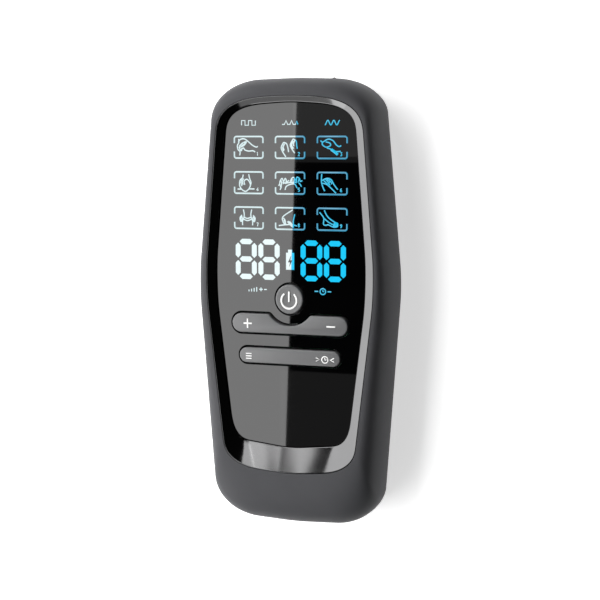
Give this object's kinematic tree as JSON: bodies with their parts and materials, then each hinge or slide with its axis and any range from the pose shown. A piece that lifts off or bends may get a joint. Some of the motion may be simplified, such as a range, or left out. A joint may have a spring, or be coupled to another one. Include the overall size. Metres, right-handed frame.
{
  "type": "tens unit",
  "caption": "Handheld electrical muscle and nerve stimulator with a glossy recessed display face, a round power key, two rocker bar keys, output sockets and a charging port.",
  "frame": {"origin": "centre of the footprint, on the flat of the back", "axes": "+Y from the middle towards the end with the lead sockets, +Z out of the display face, +X to the right when the face is read with its socket end up"},
  "size_m": [0.066, 0.1449, 0.022],
  "materials": {
    "shell_plastic": "fine soft-touch texture",
    "bezel_plating": "dark mirror plating",
    "lens_acrylic": "smoked acrylic, printed black behind",
    "key_plastic": "satin",
    "white_plastic": "moulded",
    "diffuser_film": "frosted",
    "tape_foam": "foam tape",
    "pad_foam": "open foam",
    "board_laminate": "green solder mask",
    "dome_rubber": "silicone",
    "chip_resin": "moulded resin",
    "ferrite": "ferrite core",
    "battery_pouch": "laminated foil",
    "screw_steel": "blackened",
    "port_steel": "plated",
    "jack_plastic": "moulded",
    "red_lead": "insulation",
    "black_lead": "insulation",
    "label_foil": "satin foil"
  },
  "bodies": {
    "case": {"front_housing": "shell_plastic", "rear_cover": "shell_plastic", "bezel_ring": "bezel_plating", "lens_panel": "lens_acrylic", "lens_tape": "tape_foam", "power_dome": "dome_rubber", "plus_dome": "dome_rubber", "minus_dome": "dome_rubber", "mode_dome": "dome_rubber", "time_dome": "dome_rubber", "display_light_guide": "white_plastic", "display_film": "diffuser_film", "main_board": "board_laminate", "controller_chip": "chip_resin", "charger_chip": "chip_resin", "boost_inductor": "ferrite", "buzzer": "chip_resin", "transformer_a": "ferrite", "transformer_b": "ferrite", "battery_cell": "battery_pouch", "battery_pad": "pad_foam", "battery_plug": "white_plastic", "battery_lead_positive": "red_lead", "battery_lead_negative": "black_lead", "output_jack_a": "jack_plastic", "output_jack_b": "jack_plastic", "charging_port": "port_steel", "charging_port_tongue": "chip_resin", "rating_label": "label_foil", "board_screw_1": "screw_steel", "case_screw_1": "screw_steel", "board_screw_2": "screw_steel", "case_screw_2": "screw_steel", "board_screw_3": "screw_steel", "case_screw_3": "screw_steel", "case_screw_4": "screw_steel"},
    "power_key": {"power_key": "key_plastic"},
    "plus_minus_key": {"plus_minus_key": "key_plastic"},
    "mode_time_key": {"mode_time_key": "key_plastic"}
  },
  "joints": [
    {"name": "power_press", "type": "slide", "parent": "case", "child": "power_key", "axis": [0, 0, -1], "range_m": [0, 0.0005], "stiffness_N_per_m": 800, "deforming": ["power_dome"]},
    {"name": "plus_minus_rock", "type": "hinge", "parent": "case", "child": "plus_minus_key", "pos_m": [0, -0.00815, 0.0157], "axis": [0, 1, 0], "range_deg": [-1.6, 1.6], "stiffness_Nm_per_rad": 0.3, "deforming": ["plus_dome", "minus_dome"]},
    {"name": "mode_time_rock", "type": "hinge", "parent": "case", "child": "mode_time_key", "pos_m": [0, -0.01685, 0.0157], "axis": [0, 1, 0], "range_deg": [-1.6, 1.6], "stiffness_Nm_per_rad": 0.3, "deforming": ["mode_dome", "time_dome"]}
  ]
}
